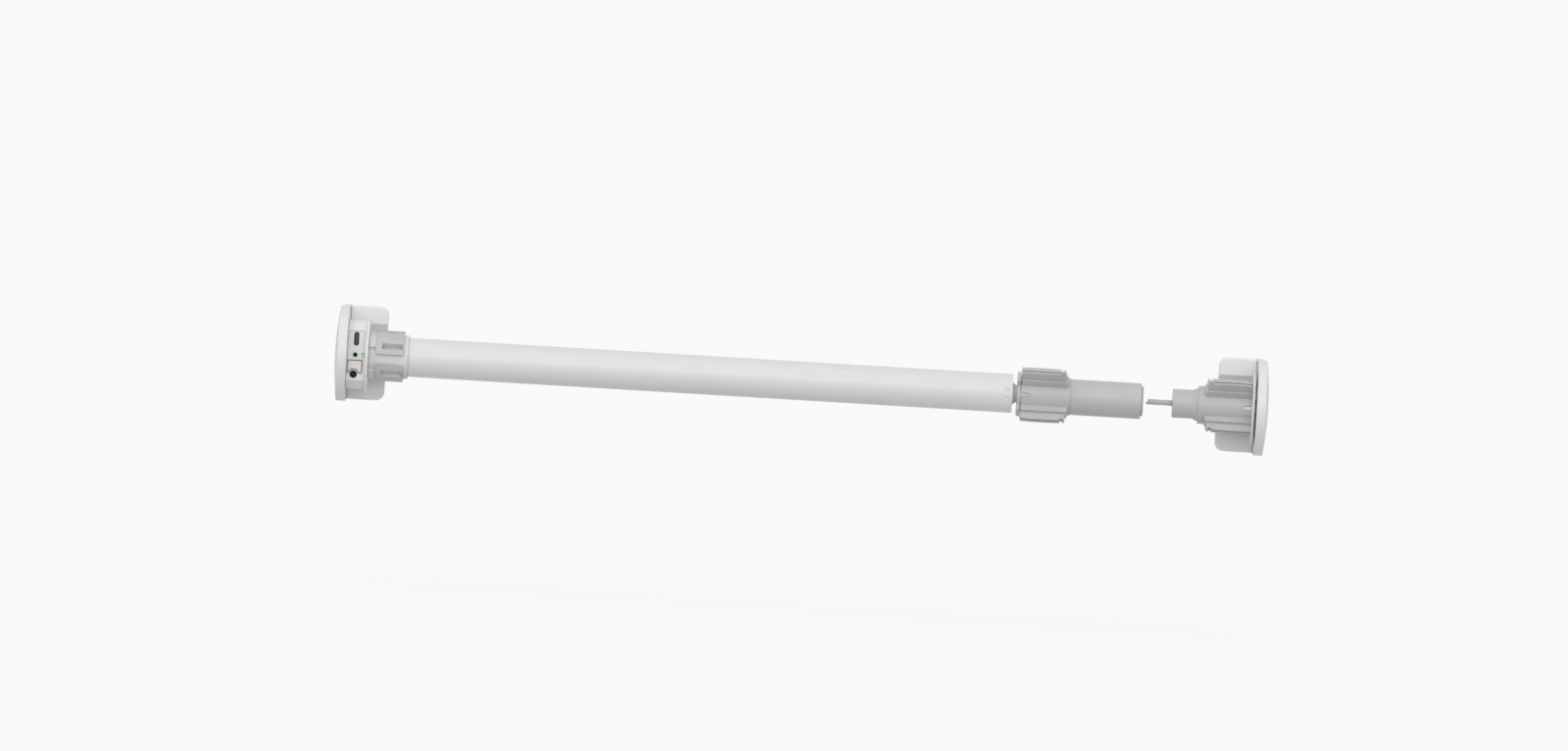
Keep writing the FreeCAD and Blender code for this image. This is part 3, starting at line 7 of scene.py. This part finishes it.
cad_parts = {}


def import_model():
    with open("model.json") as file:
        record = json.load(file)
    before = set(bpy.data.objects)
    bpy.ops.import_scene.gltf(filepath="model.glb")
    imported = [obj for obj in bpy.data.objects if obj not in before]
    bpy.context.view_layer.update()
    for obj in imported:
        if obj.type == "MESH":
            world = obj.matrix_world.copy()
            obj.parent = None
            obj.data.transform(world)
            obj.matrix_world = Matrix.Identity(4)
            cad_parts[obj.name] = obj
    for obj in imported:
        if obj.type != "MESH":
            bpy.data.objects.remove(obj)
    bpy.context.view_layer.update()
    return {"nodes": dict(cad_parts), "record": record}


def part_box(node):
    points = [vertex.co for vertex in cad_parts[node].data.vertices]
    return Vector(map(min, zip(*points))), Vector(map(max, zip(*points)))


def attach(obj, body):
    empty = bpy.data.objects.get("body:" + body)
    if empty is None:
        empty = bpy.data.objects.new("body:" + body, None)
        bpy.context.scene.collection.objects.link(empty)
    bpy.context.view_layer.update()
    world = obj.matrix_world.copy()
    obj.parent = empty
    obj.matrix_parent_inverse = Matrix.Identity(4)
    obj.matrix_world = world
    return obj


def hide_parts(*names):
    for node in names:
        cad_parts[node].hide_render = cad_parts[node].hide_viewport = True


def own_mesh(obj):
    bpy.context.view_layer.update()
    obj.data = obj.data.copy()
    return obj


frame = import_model()

MM = 0.001
AXIS_Y = -36 * MM

# The idler's rod: a thread with a short flat at its tip, then a thicker pin
THREAD_PITCH = 0.5 * MM
THREAD_CREST = 1.88 * MM
THREAD_ROOT = 1.62 * MM
THREAD_STEPS = 7
RIDGE_SLOPE = 1.25
RIDGE_FOOT = 0.08
FLAT_LENGTH = 1.1 * MM
PIN_RADIUS = 3.0 * MM
PIN_SHOULDER = 0.3 * MM
PIN_CHAMFER = 0.5 * MM
ROD_SIDES = 28

# The springs
TURN_STEPS = 28
WIRE_SIDES = 10
CLOSED_TURNS = 2
IDLER_WIRE = 0.9 * MM
LATCH_WIRE = 0.4 * MM

# Floor and background. A level of 1 is white
FLOOR_HALF = 40.0
FLOOR_LEVEL = -0.150
FLOOR_SEEN = 1.0
FLOOR_GLOW = 0.62
FLOOR_BOUNCE = 0.64
BACKDROP = 0.922
SKY = 0.60

# Camera
TARGET_X = 280.4 * MM
DISTANCE = 10
PITCH = math.radians(2.5)
ROLL = math.radians(3.428)
PAN = math.radians(0.066)
TILT = math.radians(0.016)
SENSOR_WIDTH = 36
LENS = 357.04
NEAREST = 0.05
FARTHEST = 100

# Finishes: samples of the rounded edges and of the painted shade in corners, widths of the clouds in
# millimetres, and how much brighter than its colour a metal's edges are painted, as a highlight
EDGE_SAMPLES = 4
CORNER_SAMPLES = 6
PLASTIC_CLOUD = 14
METAL_CLOUD = 9
PAINTED_EDGE_HIGHLIGHT = 1.35

# Bands per metre of the wave texture at a scale of 1
WAVES_AT_SCALE_ONE = 3.2

# Sockets of the node that mixes two colours
MIX_FACTOR = 0
MIX_COLOURS = (6, 7)
MIX_RESULT = 2


# Materials

def cleared(owner):
    """The empty node tree of a material or world."""
    owner.use_nodes = True
    owner.node_tree.nodes.clear()
    return owner.node_tree


class Graph:
    """A material whose nodes are written from left to right. Widths and depths are in millimetres."""

    def __init__(self, name):
        self.material = bpy.data.materials.new(name)
        self.tree = cleared(self.material)
        out = self.node("ShaderNodeOutputMaterial")
        self.shader = self.node("ShaderNodeBsdfPrincipled")
        self.link(self.shader, "BSDF", out, "Surface")
        self.place = self.node("ShaderNodeTexCoord")

    def node(self, kind, **settings):
        made = self.tree.nodes.new(kind)
        for name, value in settings.items():
            setattr(made, name, value)
        return made

    def link(self, source, output, target, socket):
        self.tree.links.new(source.outputs[output], target.inputs[socket])

    def noise(self, width, detail, across=(1, 1, 1), rough=0.55):
        """Noise whose features are about so wide, narrower along the axes that are scaled up."""
        made = self.node("ShaderNodeTexNoise")
        made.inputs["Scale"].default_value = 1 / (width * MM)
        made.inputs["Detail"].default_value = detail
        made.inputs["Roughness"].default_value = rough
        stretched = self.node("ShaderNodeMapping")
        stretched.inputs["Scale"].default_value = across
        self.link(self.place, "Object", stretched, "Vector")
        self.link(stretched, "Vector", made, "Vector")
        return made

    def spread(self, source, output, low, high, start=0.3, end=0.7):
        """Maps a value between two levels."""
        made = self.node("ShaderNodeMapRange")
        made.inputs["From Min"].default_value = start
        made.inputs["From Max"].default_value = end
        made.inputs["To Min"].default_value = low
        made.inputs["To Max"].default_value = high
        self.link(source, output, made, "Value")
        return made

    def mixed(self, share, first, second):
        """Mixes two colours by a share, each a colour or the mix that gives it."""
        made = self.node("ShaderNodeMix", data_type="RGBA")
        self.link(share, "Result", made, MIX_FACTOR)
        for socket, colour in zip(MIX_COLOURS, (first, second)):
            if isinstance(colour, bpy.types.Node):
                self.link(colour, MIX_RESULT, made, socket)
            else:
                made.inputs[socket].default_value = (*colour, 1)
        return made

    def edges(self, radius):
        """Rounded normals, and how much they differ from the flat ones: 1 along sharp edges."""
        bevel = self.node("ShaderNodeBevel", samples=EDGE_SAMPLES)
        bevel.inputs["Radius"].default_value = radius * MM
        flat = self.node("ShaderNodeNewGeometry")
        meet = self.node("ShaderNodeVectorMath", operation="DOT_PRODUCT")
        self.link(bevel, "Normal", meet, 0)
        self.link(flat, "Normal", meet, 1)
        return bevel, self.spread(meet, "Value", 1.0, 0.0, start=0.80, end=0.995)

    def corners(self, reach):
        """How hidden the surface is from the open, the mask of the painted shade: 1 deep in corners and
        grooves.
        """
        hollow = self.node("ShaderNodeAmbientOcclusion", samples=CORNER_SAMPLES)
        hollow.inputs["Distance"].default_value = reach * MM
        return self.spread(hollow, "AO", 1.0, 0.0, start=0.15, end=0.85)

    def colour(self, mix, socket="Base Color"):
        self.link(mix, MIX_RESULT, self.shader, socket)

    def gloss(self, source, output, low, high, **ends):
        self.link(self.spread(source, output, low, high, **ends), "Result", self.shader, "Roughness")

    def relief(self, height, output, depth, bevel=None):
        """Raises the surface by a height, on top of the rounded edges where there are any."""
        bump = self.node("ShaderNodeBump")
        bump.inputs["Distance"].default_value = depth * MM
        self.link(height, output, bump, "Height")
        if bevel is not None:
            self.link(bevel, "Normal", bump, "Normal")
        self.link(bump, "Normal", self.shader, "Normal")

    def set(self, socket, value):
        self.shader.inputs[socket].default_value = value


def shade(colour, level):
    return tuple(min(1.0, c * level) for c in colour)


def clouded(graph, clouds, colour, vary):
    """A colour that drifts a little darker and paler in clouds."""
    share = graph.spread(clouds, "Fac", 0.0, 1.0)
    return graph.mixed(share, shade(colour, 1 - vary), shade(colour, 1 + vary))


def moulded(name, colour, roughness=0.42, grain=0.30, depth=0.010, mottle=0.03, radius=0.25, edge=1.10,
            painted_corner_shade=0.55, reach=1.6):
    """Moulded plastic or paint: fine spark-eroded grain, faint clouds of colour, a painted highlight along
    edges and painted shade in corners.

    Mottle is a share of the colour. The edge highlight and the corner shade are its levels along edges and in
    corners.
    """
    g = Graph(name)
    body = clouded(g, g.noise(width=PLASTIC_CLOUD, detail=4.0), colour, vary=mottle)
    bevel, edge_share = g.edges(radius)
    # Painted highlight: the colour is paler along edges
    highlit_edges = g.mixed(edge_share, body, shade(colour, edge))
    # Painted shade: in corners and grooves the colour darkens towards its corner-shade level
    g.colour(g.mixed(g.corners(reach), highlit_edges, shade(colour, painted_corner_shade)))
    fine = g.noise(width=grain, detail=2.0)
    g.gloss(fine, "Fac", low=roughness - 0.06, high=roughness + 0.06)
    g.relief(fine, "Fac", depth, bevel)
    return g


def metal(name, colour, roughness, width, across=(1, 1, 1), metallic=1.0):
    """Bare or plated metal: drawn or turned marks along one way, cloudier colour, a painted highlight along
    edges.
    """
    g = Graph(name)
    marks = g.noise(width=width, detail=5.0, across=across, rough=0.65)
    body = clouded(g, g.noise(width=METAL_CLOUD, detail=3.0), colour, vary=0.10)
    bevel, edge_share = g.edges(radius=0.15)
    # Painted highlight: the colour is brighter along edges
    g.colour(g.mixed(edge_share, body, shade(colour, PAINTED_EDGE_HIGHLIGHT)))
    g.set("Metallic", metallic)
    g.gloss(marks, "Fac", low=roughness - 0.08, high=roughness + 0.12)
    g.relief(marks, "Fac", depth=0.006, bevel=bevel)
    return g


def zinc(name):
    """Zinc plate: overlapping spangles that differ in tone, roughness and slope."""
    g = Graph(name)
    cells = g.node("ShaderNodeTexVoronoi", feature="F1")
    cells.inputs["Scale"].default_value = 1 / (2.6 * MM)
    g.link(g.place, "Object", cells, "Vector")
    tone = g.node("ShaderNodeSeparateColor")
    g.link(cells, "Color", tone, "Color")
    share = g.spread(tone, "Red", 0.0, 1.0, start=0.0, end=1.0)
    body = g.mixed(share, (0.50, 0.51, 0.53), (0.68, 0.69, 0.71))
    bevel, edge_share = g.edges(radius=0.2)
    # Painted highlight: the zinc is paler along edges
    g.colour(g.mixed(edge_share, body, (0.80, 0.80, 0.82)))
    g.set("Metallic", 1.0)
    g.gloss(tone, "Green", low=0.28, high=0.46, start=0.0, end=1.0)
    g.relief(cells, "Distance", depth=0.02, bevel=bevel)
    return g


def lens(name):
    """Light guides that are lit from behind: the upper window full green, the lower one paler."""
    g = Graph(name)
    glow = g.noise(width=1.2, detail=2.0)
    height = g.node("ShaderNodeSeparateXYZ")
    g.link(g.place, "Object", height, "Vector")
    upper = g.spread(height, "Z", 0.0, 1.0, start=0.2 * MM, end=0.6 * MM)
    shades = g.mixed(upper, (0.26, 0.56, 0.25), (0.13, 0.42, 0.10))
    body = g.mixed(g.spread(glow, "Fac", low=0.0, high=0.4), shades, (0.34, 0.62, 0.30))
    g.colour(body)
    g.colour(body, "Emission Color")
    g.set("Emission Strength", 0.25)
    g.gloss(glow, "Fac", low=0.12, high=0.22)
    g.relief(glow, "Fac", depth=0.01)
    return g


def banded(name, first, second, width, roughness, metallic=0.0):
    """Layers across the motor's axis: stacked sheet, or a printed jacket's bands."""
    g = Graph(name)
    wave = g.node("ShaderNodeTexWave", wave_type="BANDS", bands_direction="X")
    wave.inputs["Scale"].default_value = 1 / (width * MM) / WAVES_AT_SCALE_ONE
    wave.inputs["Distortion"].default_value = 0.4
    g.link(g.place, "Object", wave, "Vector")
    g.colour(g.mixed(g.spread(wave, "Fac", 0.0, 1.0, start=0.2, end=0.8), first, second))
    g.set("Metallic", metallic)
    g.gloss(wave, "Fac", low=roughness, high=roughness + 0.15)
    bevel, _ = g.edges(radius=0.15)
    g.relief(wave, "Fac", depth=0.02, bevel=bevel)
    return g


# Plastics and paints. The last five are the coats of a few pieces, a little paler or darker than their kind.
# The hoods' and the bush's coats are paler to make up for the shade they stand in, as painted light; the
# keys' coat paints shade deeper into their windows, and the rod's coat paints dark shade at the thread's
# roots
MOULDED = {
    "cover_white": dict(colour=(0.735, 0.72, 0.725), mottle=0.02, radius=0.45, edge=1.08, painted_corner_shade=0.96,
                        reach=1.2),
    "head_white": dict(colour=(0.765, 0.75, 0.76), grain=0.28, mottle=0.02, painted_corner_shade=0.72, reach=1.0),
    "bracket_white": dict(colour=(0.83, 0.82, 0.82), roughness=0.36, grain=0.60, depth=0.012, radius=0.20,
                          edge=1.06, painted_corner_shade=0.95, reach=1.2),
    "tube_white": dict(colour=(0.70, 0.69, 0.70), roughness=0.36, grain=1.1, depth=0.012, mottle=0.02,
                       radius=0.2, edge=1.06),
    "light_plastic": dict(colour=(0.69, 0.68, 0.69), roughness=0.44, painted_corner_shade=0.74, reach=1.2),
    "grey_plastic": dict(colour=(0.48, 0.465, 0.475), roughness=0.40, grain=0.32, depth=0.012, radius=0.30,
                         edge=1.18, painted_corner_shade=0.72, reach=1.2),
    # The dark shaft gets a much paler colour than it has, to make up for the shade between the ring and the
    # hub: painted light
    "dark_shaft": dict(colour=(0.80, 0.79, 0.80), roughness=0.36, grain=0.40, mottle=0.04, radius=0.20,
                       painted_corner_shade=0.92, reach=2.0),
    "black_plastic": dict(colour=(0.010, 0.010, 0.011), roughness=0.55, depth=0.006, mottle=0.10, radius=0.1,
                          edge=1.6, painted_corner_shade=0.5, reach=0.6),
    "dark_plastic": dict(colour=(0.12, 0.12, 0.13), mottle=0.08, radius=0.1, edge=1.6, painted_corner_shade=0.5),
    "board_green": dict(colour=(0.04, 0.22, 0.11), roughness=0.30, grain=1.2, depth=0.02, mottle=0.20,
                        radius=0.1, edge=1.4),
    "hood_white": dict(colour=(0.815, 0.80, 0.805), mottle=0.02, radius=0.45, edge=1.06, painted_corner_shade=0.90,
                       reach=1.2),
    "flange_grey": dict(colour=(0.70, 0.685, 0.70), grain=0.32, edge=1.12, painted_corner_shade=0.94, reach=1.0),
    "key_grey": dict(colour=(0.50, 0.485, 0.495), grain=0.32, depth=0.012, radius=0.30, edge=1.14, reach=1.8),
    "bush_white": dict(colour=(0.93, 0.92, 0.93), roughness=0.38, grain=0.32, mottle=0.02, radius=0.20,
                       edge=1.04, painted_corner_shade=0.96, reach=0.8),
    "rod_steel": dict(colour=(0.63, 0.61, 0.62), roughness=0.34, depth=0.006, mottle=0.08, radius=0.05,
                      edge=1.25, painted_corner_shade=0.30, reach=0.6),
}

METALS = {
    "spring_steel": dict(colour=(0.45, 0.45, 0.46), roughness=0.26, width=0.5, across=(1, 6, 6)),
    "gear_steel": dict(colour=(0.50, 0.50, 0.52), roughness=0.36, width=0.35),
    "brass_gear": dict(colour=(0.72, 0.56, 0.26), roughness=0.28, width=0.5, across=(6, 1, 1)),
    "brass_contacts": dict(colour=(0.72, 0.60, 0.36), roughness=0.25, width=0.6, across=(1, 5, 1)),
    "bronze": dict(colour=(0.50, 0.36, 0.22), roughness=0.42, width=0.3),
    "port_metal": dict(colour=(0.07, 0.07, 0.075), roughness=0.34, width=0.3, across=(1, 1, 4)),
    "magnet": dict(colour=(0.12, 0.12, 0.13), roughness=0.5, width=0.3, metallic=0.6),
}

BANDED = {
    "cell_jacket": dict(first=(0.07, 0.21, 0.46), second=(0.10, 0.28, 0.55), width=9.0, roughness=0.24),
    "rotor_steel": dict(first=(0.26, 0.26, 0.27), second=(0.42, 0.42, 0.43), width=0.7, roughness=0.34,
                        metallic=1.0),
}

FINISHES = {"zinc_steel": zinc("zinc_steel"), "lens_green": lens("lens_green")}
for make, looks in ((moulded, MOULDED), (metal, METALS), (banded, BANDED)):
    for finish, look in looks.items():
        FINISHES[finish] = make(finish, **look)

# The tube's powder coat has a little gloss, and the rod is plated.
# Soft-touch plastic hardly reflects, so that it stays black in a white room
FINISHES["tube_white"].set("Coat Weight", 0.12)
FINISHES["tube_white"].set("Coat Roughness", 0.25)
FINISHES["black_plastic"].set("Specular IOR Level", 0.12)
FINISHES["rod_steel"].set("Metallic", 0.45)

OWN_COATS = {"hood_left": "hood_white", "hood_right": "hood_white", "idler_flange": "flange_grey",
             "crown_keys": "key_grey", "socket_bush": "bush_white"}

for part in frame["record"]["subparts"]:
    coat = OWN_COATS.get(part["node"], part["material_slot"])
    for slot in frame["nodes"][part["node"]].material_slots:
        slot.material = FINISHES[coat].material


# Pieces

def piece(name, rings, coat, body):
    """A new piece with a skin over rings of points, in a coat, that moves with a body."""
    mesh = bpy.data.meshes.new(name)
    count = len(rings[0])
    faces = []
    for start in range(0, (len(rings) - 1) * count, count):
        for side in range(count):
            a = start + side
            b = start + (side + 1) % count
            faces.append((a, b, b + count, a + count))
    faces.append(tuple(reversed(range(count))))
    faces.append(tuple(range((len(rings) - 1) * count, len(rings) * count)))
    mesh.from_pydata([point for ring in rings for point in ring], [], faces)
    mesh.update()
    mesh.materials.append(FINISHES[coat].material)
    for polygon in mesh.polygons:
        polygon.use_smooth = True
    made = bpy.data.objects.new(name, mesh)
    bpy.context.scene.collection.objects.link(made)
    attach(made, body)
    return made


def turns_round(sides):
    """The angles of a ring's points."""
    return [2 * math.pi * side / sides for side in range(sides)]


def thread_ring(x, start):
    """A ring of the thread, whose radius follows the distance along a helix."""
    ring = []
    for side, turn in enumerate(turns_round(ROD_SIDES)):
        phase = ((x - start) / THREAD_PITCH - side / ROD_SIDES) % 1
        ridge = 1 - abs(2 * phase - 1)
        share = min(1.0, max(0.0, ridge * RIDGE_SLOPE - RIDGE_FOOT))
        radius = THREAD_ROOT + (THREAD_CREST - THREAD_ROOT) * share
        up = radius * math.sin(turn)
        if x - start < FLAT_LENGTH:
            up = min(up, 0)
        ring.append((x, AXIS_Y + radius * math.cos(turn), up))
    return ring


def pin_ring(x, radius):
    return [(x, AXIS_Y + radius * math.cos(turn), radius * math.sin(turn)) for turn in turns_round(ROD_SIDES)]


def threaded_rod():
    """The idler's rod with a real thread."""
    low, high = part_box("idler_spindle")
    start = low.x
    pin_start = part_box("spring_collar")[0].x
    steps = int((pin_start - start) / THREAD_PITCH * THREAD_STEPS)
    rings = [thread_ring(start + (pin_start - start) * step / steps, start) for step in range(steps + 1)]
    rings.append(pin_ring(pin_start, PIN_RADIUS - PIN_SHOULDER))
    rings.append(pin_ring(pin_start + PIN_SHOULDER, PIN_RADIUS))
    rings.append(pin_ring(high.x - PIN_CHAMFER, PIN_RADIUS))
    rings.append(pin_ring(high.x, PIN_RADIUS - PIN_CHAMFER))
    rod = piece("threaded_rod", rings, "rod_steel", "spindle")
    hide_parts("idler_spindle")


def coil(name, node, along, turns, wire, body):
    """A wound spring in the space of a node: closed end turns, open ones between, along one axis."""
    low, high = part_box(node)
    middle = (low + high) / 2
    first = (along + 1) % 3
    second = (along + 2) % 3
    mean = (high[first] - low[first] - wire) / 2
    start = low[along] + wire / 2
    free = high[along] - low[along] - (CLOSED_TURNS + 1) * wire
    lift = Vector((0, 0, 0))
    lift[along] = 1
    rings = []
    for step in range(turns * TURN_STEPS + 1):
        turn = step / TURN_STEPS
        out = Vector((0, 0, 0))
        out[first] = math.cos(2 * math.pi * turn)
        out[second] = math.sin(2 * math.pi * turn)
        place = start + min(turn, 1) * wire + max(0.0, turn - turns + 1) * wire
        place += free * min(1.0, max(0.0, (turn - 1) / (turns - CLOSED_TURNS)))
        centre = middle + out * mean
        centre[along] = place
        rings.append([centre + (lift * math.cos(angle) + out * math.sin(angle)) * (wire / 2)
                      for angle in turns_round(WIRE_SIDES)])
    spring = piece(name, rings, "spring_steel", body)
    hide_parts(node)
    return spring


threaded_rod()
idler_coil = coil("idler_coil", "idler_spring", along=0, turns=9, wire=IDLER_WIRE, body="idler")
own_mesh(idler_coil)
latch_coil = coil("latch_coil", "latch_spring", along=1, turns=5, wire=LATCH_WIRE, body="fixed")
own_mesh(latch_coil)


# Floor, light and camera

def grey(level):
    return (level, level, level, 1)


def for_the_eye(tree, seen, other):
    """Shows one shader to the camera, in reflections and through glass, and another to bounced light."""
    path = tree.nodes.new("ShaderNodeLightPath")
    share = path.outputs["Is Camera Ray"]
    for kind in ("Is Glossy Ray", "Is Transmission Ray"):
        either = tree.nodes.new("ShaderNodeMath")
        either.operation = "MAXIMUM"
        tree.links.new(share, either.inputs[0])
        tree.links.new(path.outputs[kind], either.inputs[1])
        share = either.outputs[0]
    both = tree.nodes.new("ShaderNodeMixShader")
    tree.links.new(share, both.inputs[0])
    tree.links.new(other.outputs[0], both.inputs[1])
    tree.links.new(seen.outputs[0], both.inputs[2])
    return both


def floor():
    """A wide plain floor. It looks white, and sends back less light from below than white paper would."""
    material = bpy.data.materials.new("floor")
    tree = cleared(material)
    out = tree.nodes.new("ShaderNodeOutputMaterial")
    paper = tree.nodes.new("ShaderNodeBsdfDiffuse")
    paper.inputs["Color"].default_value = grey(FLOOR_SEEN)
    glow = tree.nodes.new("ShaderNodeEmission")
    glow.inputs["Color"].default_value = grey(1)
    seen = tree.nodes.new("ShaderNodeMixShader")
    seen.inputs[0].default_value = FLOOR_GLOW
    tree.links.new(paper.outputs[0], seen.inputs[1])
    tree.links.new(glow.outputs[0], seen.inputs[2])
    bounced = tree.nodes.new("ShaderNodeBsdfDiffuse")
    bounced.inputs["Color"].default_value = grey(FLOOR_BOUNCE)
    both = for_the_eye(tree, seen, bounced)
    tree.links.new(both.outputs[0], out.inputs["Surface"])
    mesh = bpy.data.meshes.new("floor")
    corners = [(x * FLOOR_HALF, y * FLOOR_HALF, FLOOR_LEVEL) for x, y in ((-1, -1), (1, -1), (1, 1), (-1, 1))]
    mesh.from_pydata(corners, [], [(0, 1, 2, 3)])
    mesh.materials.append(material)
    made = bpy.data.objects.new("floor", mesh)
    bpy.context.scene.collection.objects.link(made)


def world():
    """Even light from all round. Behind everything it looks as the floor does."""
    made = bpy.data.worlds.new("studio")
    tree = cleared(made)
    out = tree.nodes.new("ShaderNodeOutputWorld")
    lit = tree.nodes.new("ShaderNodeBackground")
    lit.inputs["Color"].default_value = grey(1)
    lit.inputs["Strength"].default_value = SKY
    seen = tree.nodes.new("ShaderNodeBackground")
    seen.inputs["Color"].default_value = grey(BACKDROP)
    seen.inputs["Strength"].default_value = 1.0
    both = for_the_eye(tree, seen, lit)
    tree.links.new(both.outputs[0], out.inputs["Surface"])
    bpy.context.scene.world = made


def sky_light(name, strength, spread, towards):
    """A very wide lamp, as even as an overcast sky."""
    light = bpy.data.lights.new(name, "SUN")
    light.energy = strength
    light.angle = math.radians(spread)
    made = bpy.data.objects.new(name, light)
    made.rotation_euler = Vector(towards).to_track_quat("-Z", "Y").to_euler()
    bpy.context.scene.collection.objects.link(made)


def camera():
    """Faces the set from far off, a little above its axis, turned so that the axis runs down to the right."""
    lens_data = bpy.data.cameras.new("camera")
    lens_data.sensor_width = SENSOR_WIDTH
    lens_data.lens = LENS
    lens_data.clip_start = NEAREST
    lens_data.clip_end = FARTHEST
    target = Vector((TARGET_X, AXIS_Y, 0))
    place = target + Vector((0, -math.cos(PITCH), math.sin(PITCH))) * DISTANCE
    turn = (target - place).to_track_quat("-Z", "Y").to_matrix() @ Matrix.Rotation(PAN, 3, "Y")
    turn = turn @ Matrix.Rotation(TILT, 3, "X") @ Matrix.Rotation(ROLL, 3, "Z")
    made = bpy.data.objects.new("camera", lens_data)
    made.matrix_world = Matrix.Translation(place) @ turn.to_4x4()
    bpy.context.scene.collection.objects.link(made)
    bpy.context.scene.camera = made


floor()
world()
sky_light("overhead", strength=0.90, spread=80, towards=(0.08, 0.9, -1.0))
sky_light("front", strength=0.90, spread=60, towards=(0.05, 1.0, -0.15))
camera()
bpy.context.scene.view_settings.view_transform = "Standard"
